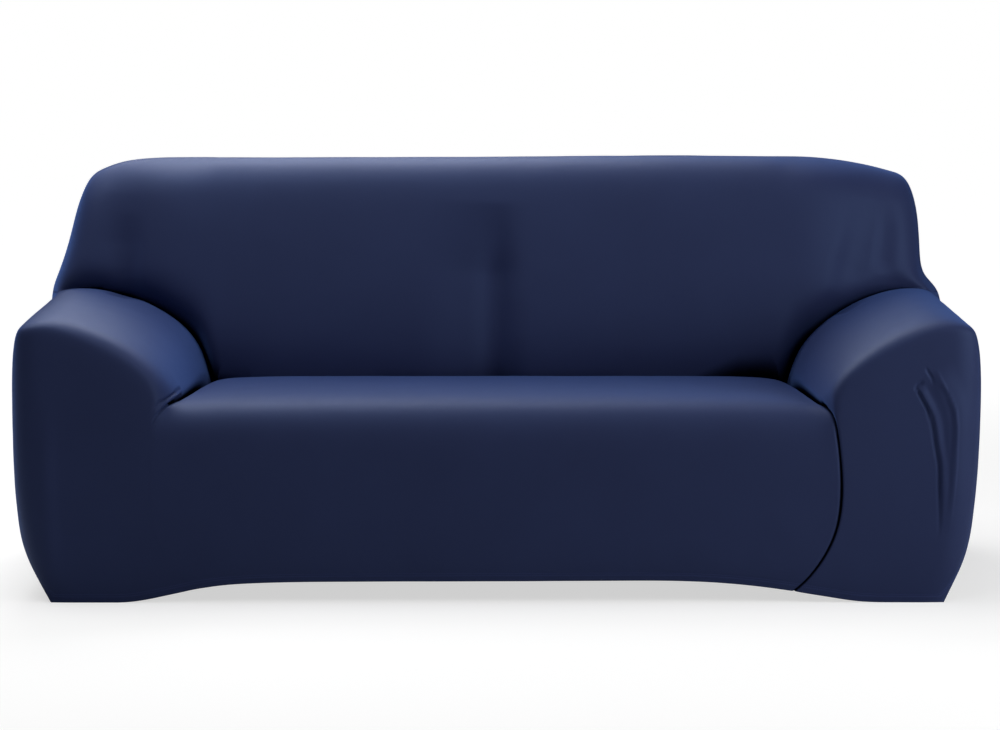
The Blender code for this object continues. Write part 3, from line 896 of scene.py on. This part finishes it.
def refine(mesh):
    """Splits the long edges by the seams and where the fine creases are, so that both can show."""
    places, _ = coordinates(mesh)
    _, gap = nearest_seam(places, sewn_vertices(mesh))
    fine = (gap < FINE_SEAM) & (places[:, 1] < BACK_OF_FRONT)
    for place, radius in FINE_PLACES:
        fine |= np.linalg.norm(places - np.array(place), axis=1) < radius
    ends = edge_ends(mesh)
    spans = np.linalg.norm(places[ends[:, 0]] - places[ends[:, 1]], axis=1)
    chosen = np.flatnonzero(fine[ends].all(axis=1) & (spans > FINE_EDGE))
    bm = bmesh.new()
    bm.from_mesh(mesh)
    bm.edges.ensure_lookup_table()
    long_edges = [bm.edges[index] for index in chosen]
    bmesh.ops.subdivide_edges(bm, edges=long_edges, cuts=FINE_CUTS, use_grid_fill=True, smooth=1.0)
    bm.to_mesh(mesh)
    bm.free()
    mesh.update()


def groove_size(panels, place):
    """Depth, reach and painted shade of the groove at a place on the seam between two panels."""
    if OUTSIDE_BACK in panels:
        return REAR_GROOVE
    if INSIDE_BACK in panels and SEAT not in panels and place.y > ARM_TUCK_END:
        return REAR_GROOVE
    if panels == {INSIDE_BACK, SEAT}:
        table, at = TUCK_GROOVE_TABLE, place.x
    elif INSIDE_BACK in panels:
        table, at = ARM_TUCK_TABLE, abs(place.x)
    elif place.z > SEAM_TURN or place.y > SEAM_FACE:
        table, at = RIGHT_SEAM_TABLE if place.x > 0 else LEFT_SEAM_TABLE, place.y
    elif place.x > 0:
        table, at = RIGHT_FRONT_TABLE, place.z
    else:
        return FLAT_SEAM
    return [along(table, at, value) for value in (1, 2, 3)]


def lip(gap, reach):
    """How far the cloth has rolled in beside a seam: a quarter turn that ends on the seam."""
    inside = np.clip(1 - gap / reach, 0.0, 1.0)
    return 1 - np.sqrt(1 - inside**2)


def press_grooves(mesh):
    """Draws the cloth in along its tucks and seams, and stores the painted shade of each point near
    them.
    """
    seams = sewn_vertices(mesh)
    places, normals = coordinates(mesh)
    nearest, gap = nearest_seam(places, seams)
    sizes = np.zeros((len(places), 3))
    tucked = np.zeros(len(places), dtype=bool)
    ways = -normals
    for vertex, panels in seams.items():
        place = Vector(places[vertex])
        sizes[vertex] = groove_size(panels, place)
        tucked[vertex] = INSIDE_BACK in panels and OUTSIDE_BACK not in panels
        if INSIDE_BACK not in panels and place.y > SEAM_FACE:
            ways[vertex, 0] += math.copysign(UNDER_ARM, place.x)
    depth, reach, shade = sizes[nearest].T
    on_back = np.zeros(len(places), dtype=bool)
    on_back[numbers(mesh.loops, "vertex_index")[corner_panels(mesh) == INSIDE_BACK]] = True
    share = np.where(tucked[nearest] & ~on_back, LIP_SHARE, 1.0)
    reach, shade = reach * share, shade * share
    put_back(mesh, places + ways[nearest] * (depth * lip(gap, reach))[:, None])
    # Painted shade: near a seam or tuck the cloth is darkened towards black, where shade falls in the
    # crevice.
    inside = np.clip(PAINTED_SHADE_EDGE * (1 - gap / np.maximum(shade, TINY)), 0.0, 1.0)
    keep(mesh, "painted_tuck_shade", np.where(shade > 0, inside**2 * (3 - 2 * inside), 0.0))


def ripple(mesh, height):
    """Slow, irregular waves, as stretched cloth has over padding."""
    places, normals = coordinates(mesh)
    waves = [
        sum(share * noise.noise(Vector(place) * pitch) for pitch, share in WAVES)
        for place in places
    ]
    put_back(mesh, places + normals * (height * np.array(waves))[:, None])


def measure_hem(mesh):
    """Stores each place's height over the hem's edge and its run along it, for the stitching."""
    uses, _, _ = edge_panels(mesh)
    chain = ordered_loop(edge_ends(mesh)[uses == 1].tolist())
    places, _ = coordinates(mesh)
    ring = places[chain]
    spans = np.roll(ring, -1, axis=0) - ring
    lengths = np.linalg.norm(spans, axis=1)
    starts = np.cumsum(lengths) - lengths
    tree = KDTree(len(ring))
    for index, place in enumerate(ring):
        tree.insert(place, index)
    tree.balance()
    near = np.flatnonzero(places[:, 2] < HEM_ZONE_TOP)
    nearest = np.array([tree.find(place)[1] for place in places[near]])
    rise = np.full(len(places), HEM_ZONE)
    run = np.zeros(len(places))
    for span in (nearest - 1, nearest):
        way = spans[span] / lengths[span][:, None]
        offset = places[near] - ring[span]
        reached = np.clip((offset * way).sum(axis=1), 0.0, lengths[span])
        gap = np.linalg.norm(offset - reached[:, None] * way, axis=1)
        closer = gap < rise[near]
        rise[near[closer]] = gap[closer]
        run[near[closer]] = (starts[span] + reached)[closer]
    keep(mesh, "hem_rise", rise)
    keep(mesh, "hem_run", run)


def ordered_loop(edges):
    """The vertices of one closed loop of edges, in order."""
    beside = {}
    for a, b in edges:
        beside.setdefault(a, []).append(b)
        beside.setdefault(b, []).append(a)
    chain = [edges[0][0], edges[0][1]]
    while True:
        before, here = chain[-2:]
        after = beside[here][0] if beside[here][0] != before else beside[here][1]
        if after == chain[0]:
            return chain
        chain.append(after)


def whole_cover(sizes):
    """The finished cover in one piece, made once and kept for the panels that are cut from it."""
    if WHOLE in bpy.data.meshes:
        return bpy.data.meshes[WHOLE]
    cover = smooth_cover(sizes.smoothing)
    refine(cover)
    measure_hem(cover)
    places, normals = coordinates(cover)
    put_back(cover, places + normals * fold_heights(places)[:, None])
    press_grooves(cover)
    places, normals = coordinates(cover)
    put_back(cover, places + normals * crease_heights(places, normals)[:, None])
    ripple(cover, sizes.wave)
    places, _ = coordinates(cover)
    places[:, 2] = np.maximum(places[:, 2], FLOOR_GAP)
    put_back(cover, places)
    mark_borders(cover)
    cover.name = WHOLE
    return cover


def mark_borders(mesh):
    """Stores which edges are hems and which are sewn, and each point's way out of the cloth."""
    uses, first, last = edge_panels(mesh)
    kinds = np.where(uses == 1, HEM, np.where(first < last, SEWN, 0)).astype(np.int32)
    keep(mesh, "border", kinds, "INT", "EDGE")
    _, normals = coordinates(mesh)
    keep(mesh, "outward", normals.ravel(), "FLOAT_VECTOR", field="vector")


# ---------------------------------------------------------------------------------------------
# Cutting and turning in the panels.

def inward_ways(bm, outward):
    """For each point of the cut edges, the way into the panel along the cloth."""
    sums = {}
    for edge in bm.edges:
        if edge.is_boundary:
            loop = edge.link_loops[0]
            run = (loop.link_loop_next.vert.co - loop.vert.co).normalized()
            for vert in edge.verts:
                sums.setdefault(vert, []).append(vert[outward].cross(run).normalized())
    return {vert: sum(ways, Vector()).normalized() for vert, ways in sums.items()}


def turn_in(bm, edges, drops, outward, cloth):
    """Extrudes border edges, by steps of how far down from the cloth and how far back under it."""
    ways = inward_ways(bm, outward)
    under = 0.0
    for down, back in drops:
        under += down
        made = bmesh.ops.extrude_edge_only(bm, edges=edges)["geom"]
        edges = [item for item in made if isinstance(item, bmesh.types.BMEdge)]
        verts = [item for item in made if isinstance(item, bmesh.types.BMVert)]
        fresh = set(verts)
        edges = [edge for edge in edges if fresh.issuperset(edge.verts)]
        for vert in verts:
            source = next(e.other_vert(vert) for e in vert.link_edges if e.other_vert(vert) in ways)
            ways[vert] = ways[source]
            vert.co += ways[source] * back - vert[outward] * down
            if back:
                place, normal, _, _ = cloth.find_nearest(vert.co)
                vert.co = place - normal * under


def cut_panel(cover, index, sizes):
    """One panel, cut out of the cover along its seams, with its edges turned in and hemmed."""
    bm = bmesh.new()
    bm.from_mesh(cover)
    outward = bm.verts.layers.float_vector["outward"]
    border = bm.edges.layers.int["border"]
    others = [face for face in bm.faces if face.material_index != index]
    bmesh.ops.delete(bm, geom=others, context="FACES")
    for vert, way in inward_ways(bm, outward).items():
        if any(edge[border] == SEWN for edge in vert.link_edges):
            vert.co += way * sizes.seam_gap / 2
    outer = len(bm.faces)
    cloth = BVHTree.FromBMesh(bm)
    sewn = [edge for edge in bm.edges if edge.is_boundary and edge[border] == SEWN]
    hems = [edge for edge in bm.edges if edge.is_boundary and edge[border] == HEM]
    if sewn:
        turn_in(bm, sewn, ((sizes.seam_allowance, 0.0),), outward, cloth)
    if hems:
        turn_in(bm, hems, ((sizes.hem_fold, 0.0), (0.0, sizes.hem_width)), outward, cloth)
    for vert in bm.verts:
        vert.co.z = max(vert.co.z, FLOOR_GAP)
    for face in bm.faces:
        face.material_index = 0
        face.smooth = True
    mesh = bpy.data.meshes.new(PANELS[index])
    bm.to_mesh(mesh)
    bm.free()
    ease_normals(mesh, outer)
    return mesh


def ease_normals(mesh, outer):
    """Lets light run over the seams: each panel's outer faces get the whole cover's normals."""
    smooth = vectors(mesh.attributes["outward"].data, "vector")
    flat = vectors(mesh.polygons, "normal")
    face = at_corners(mesh, np.arange(len(mesh.polygons)))
    vertex = numbers(mesh.loops, "vertex_index")
    normals = np.where((face < outer)[:, None], smooth[vertex], flat[face])
    mesh.normals_split_custom_set(normals.tolist())


def add_panel(scene, name):
    """Puts a panel in the scene in the place of its solid, as a stretched sheet of jersey."""
    sizes = scene.slipcover_sizes
    mesh = cut_panel(whole_cover(sizes), PANELS.index(name), sizes)
    mesh.materials.append(jersey(scene.slipcover_finish))
    panel = bpy.data.objects.new(name + "_cloth", mesh)
    scene.collection.objects.link(panel)
    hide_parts(name)
    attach(panel, "root")


# ---------------------------------------------------------------------------------------------
# The cloth's finish.

def add_node(tree, kind, settings=None, inputs=None):
    """Adds a node with its settings, its constants and its links from other nodes' sockets."""
    node = tree.nodes.new(kind)
    for name, value in (settings or {}).items():
        setattr(node, name, value)
    for name, value in (inputs or {}).items():
        if isinstance(value, bpy.types.NodeSocket):
            tree.links.new(value, node.inputs[name])
        else:
            node.inputs[name].default_value = value
    return node


def maths(tree, operation, *values, clamp=False):
    """The result socket of one step of arithmetic."""
    settings = {"operation": operation, "use_clamp": clamp}
    return add_node(tree, "ShaderNodeMath", settings, dict(enumerate(values))).outputs[0]


def band(tree, value, centre, half_width):
    """1 at the centre of a line, falling to 0 at its sides."""
    away = maths(tree, "ABSOLUTE", maths(tree, "SUBTRACT", value, centre))
    return maths(tree, "SUBTRACT", 1.0, maths(tree, "DIVIDE", away, half_width), clamp=True)


def knit_height(tree, finish):
    """Columns of V-shaped stitches, from the cloth's own coordinates in metres."""
    cloth = add_node(tree, "ShaderNodeUVMap", {"uv_map": "cloth"}).outputs["UV"]
    parts = add_node(tree, "ShaderNodeSeparateXYZ", None, {"Vector": cloth}).outputs
    wale = maths(tree, "FRACT", maths(tree, "DIVIDE", parts["X"], finish.wale))
    lean = maths(tree, "ABSOLUTE", maths(tree, "SUBTRACT", wale, 0.5))
    row = maths(tree, "ADD", maths(tree, "DIVIDE", parts["Y"], finish.course), lean)
    loops = maths(tree, "SINE", maths(tree, "MULTIPLY", row, 2 * math.pi))
    bow = maths(tree, "MULTIPLY", maths(tree, "MULTIPLY", lean, lean), 4.0)
    rib = maths(tree, "SUBTRACT", 1.0, bow)
    return maths(tree, "MULTIPLY_ADD", loops, LOOP_SHARE, rib)


def hem_stitches(tree, finish):
    """The two rows of coverstitch along the hem, and the shallow groove that they pull."""
    rise = add_node(tree, "ShaderNodeAttribute", {"attribute_name": "hem_rise"}).outputs["Fac"]
    run = add_node(tree, "ShaderNodeAttribute", {"attribute_name": "hem_run"}).outputs["Fac"]
    rows = maths(
        tree,
        "MAXIMUM",
        band(tree, rise, HEM_STITCH, THREAD),
        band(tree, rise, HEM_STITCH + STITCH_ROWS, THREAD),
    )
    place = maths(tree, "FRACT", maths(tree, "DIVIDE", run, finish.stitch))
    dashes = maths(tree, "LESS_THAN", place, STITCH_SHARE)
    groove = band(tree, rise, HEM_STITCH + STITCH_ROWS / 2, HEM_GROOVE)
    return maths(tree, "MULTIPLY", maths(tree, "GREATER_THAN", rows, 0.0), dashes), groove


def jersey(finish):
    """Polyester and elastane jersey, knitted, dyed navy and brushed a little: it is matt, and its
    fine fibres catch a pale blue light where the cloth turns away."""
    name = "navy_stretch_jersey"
    if name in bpy.data.materials:
        return bpy.data.materials[name]
    material = bpy.data.materials.new(name)
    material.use_nodes = True
    tree = material.node_tree
    shader = tree.nodes["Principled BSDF"]
    place = add_node(tree, "ShaderNodeTexCoord").outputs["Object"]
    cloud = add_node(
        tree,
        "ShaderNodeTexNoise",
        None,
        {"Vector": place, "Scale": 1 / CLOUD_SIZE, "Detail": 3.0, "Roughness": 0.55},
    ).outputs["Fac"]
    shade = add_node(
        tree,
        "ShaderNodeMix",
        {"data_type": "RGBA"},
        {MIX_FACTOR: cloud, MIX_FIRST: (*finish.navy, 1.0), MIX_SECOND: (*finish.light_navy, 1.0)},
    )
    stitches, groove = hem_stitches(tree, finish)
    threaded = add_node(
        tree,
        "ShaderNodeMix",
        {"data_type": "RGBA"},
        {
            MIX_FACTOR: stitches,
            MIX_FIRST: shade.outputs[MIX_RESULT],
            MIX_SECOND: (*finish.thread, 1.0),
        },
    )
    tree.links.new(threaded.outputs[MIX_RESULT], shader.inputs["Base Color"])
    relief = maths(tree, "MULTIPLY_ADD", knit_height(tree, finish), KNIT_RELIEF, 0.0)
    relief = maths(tree, "MULTIPLY_ADD", groove, -GROOVE_RELIEF, relief)
    relief = maths(tree, "MULTIPLY_ADD", stitches, THREAD_RELIEF, relief)
    bump = add_node(
        tree, "ShaderNodeBump", None, {"Height": relief, "Strength": 0.6, "Distance": 1.0}
    )
    tree.links.new(bump.outputs["Normal"], shader.inputs["Normal"])
    shader.inputs["Roughness"].default_value = 0.60
    shader.inputs["IOR"].default_value = 1.50
    shader.inputs["Specular Tint"].default_value = (*finish.gloss, 1.0)
    shader.inputs["Sheen Weight"].default_value = 0.40
    shader.inputs["Sheen Roughness"].default_value = 0.45
    shader.inputs["Sheen Tint"].default_value = (*finish.sheen, 1.0)
    # Painted shade: a near-black diffuse is mixed over the jersey in the tucks and seams, where shade
    # falls.
    painted_shade_bsdf = add_node(tree, "ShaderNodeBsdfDiffuse", None, {"Color": (*finish.painted_shade_colour, 1.0)})
    tuck = add_node(tree, "ShaderNodeAttribute", {"attribute_name": "painted_tuck_shade"}).outputs["Fac"]
    both = {0: tuck, 1: shader.outputs["BSDF"], 2: painted_shade_bsdf.outputs["BSDF"]}
    mixed = add_node(tree, "ShaderNodeMixShader", None, both)
    tree.links.new(mixed.outputs["Shader"], tree.nodes["Material Output"].inputs["Surface"])
    return material


# ---------------------------------------------------------------------------------------------
# Floor, light and camera.

def white_sweep(settings):
    """Matt studio paper: it throws back what light it gets, and it is lit from below until it
    looks white, but for a faint shadow where the cover stands."""
    material = bpy.data.materials.new("matt_studio_paper")
    material.use_nodes = True
    tree = material.node_tree
    shader = tree.nodes["Principled BSDF"]
    shader.inputs["Base Color"].default_value = (*settings.floor, 1.0)
    shader.inputs["Roughness"].default_value = 0.95
    shader.inputs["Specular IOR Level"].default_value = 0.1
    shader.inputs["Emission Color"].default_value = (1.0, 1.0, 1.0, 1.0)
    place = add_node(tree, "ShaderNodeTexCoord").outputs["Object"]
    away = add_node(tree, "ShaderNodeVectorMath", {"operation": "LENGTH"}, {0: place}).outputs["Value"]
    limits = {
        "Value": away,
        "From Min": GLOW_START,
        "From Max": GLOW_END,
        "To Min": settings.floor_glow,
        "To Max": 1.0,
    }
    glow = add_node(tree, "ShaderNodeMapRange", {"interpolation_type": "SMOOTHSTEP"}, limits)
    seen = add_node(tree, "ShaderNodeLightPath").outputs["Is Camera Ray"]
    strength = maths(tree, "MULTIPLY", seen, glow.outputs["Result"])
    tree.links.new(strength, shader.inputs["Emission Strength"])
    return material


def add_floor(settings):
    half = settings.floor_size / 2
    mesh = bpy.data.meshes.new("floor")
    corners = [(-half, -half, 0), (half, -half, 0), (half, half, 0), (-half, half, 0)]
    mesh.from_pydata(corners, [], [(0, 1, 2, 3)])
    mesh.materials.append(white_sweep(settings))
    floor = bpy.data.objects.new("floor", mesh)
    bpy.context.scene.collection.objects.link(floor)


def add_lamp(name, round_by, up_by, power, middle=(0.0, 0.0, 0.5)):
    """A square softbox that faces the cover, so many degrees round from the right and up."""
    turn, lift = math.radians(round_by), math.radians(up_by)
    way = Vector((math.cos(turn) * math.cos(lift), math.sin(turn) * math.cos(lift), math.sin(lift)))
    lamp = bpy.data.lights.new(name, "AREA")
    lamp.shape = "SQUARE"
    lamp.size = LAMP_SIZE
    lamp.energy = power
    holder = bpy.data.objects.new(name, lamp)
    holder.location = Vector(middle) + way * LAMP_REACH
    holder.rotation_euler = (-way).to_track_quat("-Z", "Y").to_euler()
    bpy.context.scene.collection.objects.link(holder)


def add_camera():
    """A long lens that looks a little down on the cover."""
    lens = bpy.data.cameras.new("camera")
    lens.sensor_width = SENSOR
    lens.lens = LENS
    lens.clip_end = 200.0
    holder = bpy.data.objects.new("camera", lens)
    holder.location = (0.0, -DEPTH / 2 - CAMERA_GAP, CAMERA_HEIGHT)
    holder.rotation_euler = (math.radians(90 - CAMERA_TILT), 0.0, -math.radians(CAMERA_TURN))
    bpy.context.scene.collection.objects.link(holder)
    bpy.context.scene.camera = holder


def add_air():
    """White all round for the camera. It lights nothing, because the lamps do that."""
    world = bpy.data.worlds.new("studio_air")
    world.use_nodes = True
    tree = world.node_tree
    background = tree.nodes["Background"]
    background.inputs["Color"].default_value = (1.0, 1.0, 1.0, 1.0)
    seen = add_node(tree, "ShaderNodeLightPath").outputs["Is Camera Ray"]
    tree.links.new(seen, background.inputs["Strength"])
    bpy.context.scene.world = world


# ---------------------------------------------------------------------------------------------
# Operators and the sidebar.

class SLIPCOVER_OT_seat(bpy.types.Operator):
    """Makes the seat panel with its front skirt"""

    bl_idname = "slipcover.seat"
    bl_label = "Seat panel"

    def execute(self, context):
        add_panel(context.scene, "seat_panel")
        return {"FINISHED"}


class SLIPCOVER_OT_inside_back(bpy.types.Operator):
    """Makes the inside back with its wings and the roll over the top"""

    bl_idname = "slipcover.inside_back"
    bl_label = "Inside back panel"

    def execute(self, context):
        add_panel(context.scene, "inside_back_panel")
        return {"FINISHED"}


class SLIPCOVER_OT_arms(bpy.types.Operator):
    """Makes the two arm panels"""

    bl_idname = "slipcover.arms"
    bl_label = "Arm panels"

    def execute(self, context):
        for name in ("left_arm_panel", "right_arm_panel"):
            add_panel(context.scene, name)
        return {"FINISHED"}


class SLIPCOVER_OT_outside_back(bpy.types.Operator):
    """Makes the outside back panel"""

    bl_idname = "slipcover.outside_back"
    bl_label = "Outside back panel"

    def execute(self, context):
        add_panel(context.scene, "outside_back_panel")
        return {"FINISHED"}


class SLIPCOVER_OT_stage(bpy.types.Operator):
    """Adds the floor, the lamps and the camera"""

    bl_idname = "slipcover.stage"
    bl_label = "Floor, light and camera"

    def execute(self, context):
        add_floor(context.scene.slipcover_stage)
        for lamp in LAMPS:
            add_lamp(*lamp)
        add_air()
        context.scene.view_settings.view_transform = "Standard"  # shows a colour as it is written
        add_camera()
        return {"FINISHED"}


class SLIPCOVER_PT_panel(bpy.types.Panel):
    bl_idname = "SLIPCOVER_PT_panel"
    bl_label = "Slipcover"
    bl_space_type = "VIEW_3D"
    bl_region_type = "UI"
    bl_category = "Slipcover"

    def draw(self, context):
        for group, kind in GROUPS.items():
            box = self.layout.box()
            for name in kind.__annotations__:
                box.prop(getattr(context.scene, group), name)
        for operator in OPERATORS:
            self.layout.operator(operator.bl_idname)


OPERATORS = (
    SLIPCOVER_OT_seat,
    SLIPCOVER_OT_inside_back,
    SLIPCOVER_OT_arms,
    SLIPCOVER_OT_outside_back,
    SLIPCOVER_OT_stage,
)
GROUPS = {
    "slipcover_sizes": CoverSizes,
    "slipcover_finish": JerseyFinish,
    "slipcover_stage": StageSettings,
}


def register():
    for group in GROUPS.values():
        bpy.utils.register_class(group)
    for name, group in GROUPS.items():
        setattr(bpy.types.Scene, name, bpy.props.PointerProperty(type=group))
    for operator in OPERATORS:
        bpy.utils.register_class(operator)
    bpy.utils.register_class(SLIPCOVER_PT_panel)


def unregister():
    bpy.utils.unregister_class(SLIPCOVER_PT_panel)
    for operator in reversed(OPERATORS):
        bpy.utils.unregister_class(operator)
    for name in GROUPS:
        delattr(bpy.types.Scene, name)
    for group in GROUPS.values():
        bpy.utils.unregister_class(group)


def main():
    register()
    bpy.ops.object.select_all(action="DESELECT")
    bpy.ops.slipcover.stage()
    bpy.ops.slipcover.seat()
    bpy.ops.slipcover.inside_back()
    bpy.ops.slipcover.arms()
    bpy.ops.slipcover.outside_back()
    bpy.data.meshes.remove(bpy.data.meshes[WHOLE])
    bpy.context.view_layer.update()


if __name__ == "__main__":
    main()
